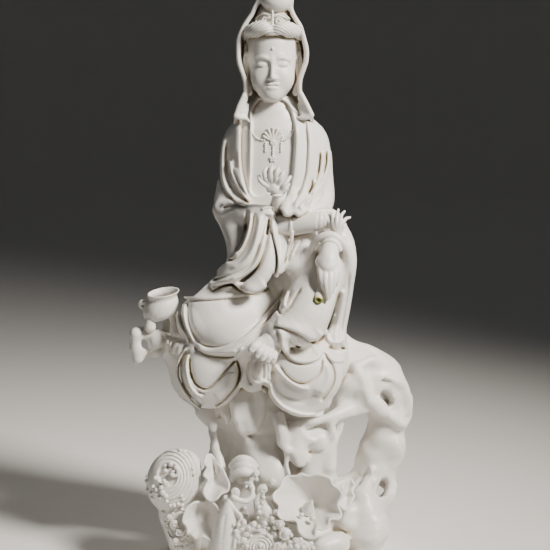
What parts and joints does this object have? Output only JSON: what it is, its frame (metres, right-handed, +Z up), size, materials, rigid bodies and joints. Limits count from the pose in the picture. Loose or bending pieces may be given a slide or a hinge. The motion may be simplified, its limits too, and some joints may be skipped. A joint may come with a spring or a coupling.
{
  "type": "guanyin figure",
  "caption": "Hooded, robed figure seated with one knee raised on pierced rockwork over lotus leaves and waves, in white porcelain, with an open pot on a side ledge.",
  "frame": {"origin": "middle of the figure's box, on the flat underside of the rockwork", "axes": "+Z up, the figure faces -Y, +X to the right of someone who looks at its front"},
  "size_m": [0.2382, 0.1728, 0.4851],
  "materials": {
    "porcelain": "thin satin glaze on ivory-white porcelain"
  },
  "bodies": {
    "root": {"guanyin_on_rockwork": "porcelain"}
  },
  "joints": []
}
